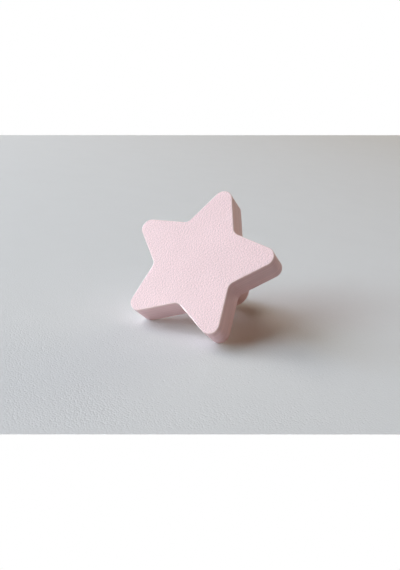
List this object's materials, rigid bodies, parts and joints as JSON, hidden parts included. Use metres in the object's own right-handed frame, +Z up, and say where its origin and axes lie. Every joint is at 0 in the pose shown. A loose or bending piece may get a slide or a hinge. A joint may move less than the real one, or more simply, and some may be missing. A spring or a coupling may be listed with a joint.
{
  "type": "star drawer handle",
  "caption": "Drawer handle: a thick pastel pink star with rounded points on a round stem, fixed from behind by a screw into a brass insert.",
  "frame": {"origin": "middle of the stem's end, in the plane of the drawer front", "axes": "+Y out of the back of the handle into the drawer, so the star faces -Y; +Z up, with one point of the star straight up"},
  "size_m": [0.0496, 0.035, 0.0475],
  "materials": {
    "pink_plastic": "matte, finely pebbled on the front face, faint layer lines on the sides",
    "insert_brass": "turned"
  },
  "bodies": {
    "root": {"star_handle": "pink_plastic", "threaded_insert": "insert_brass"}
  },
  "joints": []
}
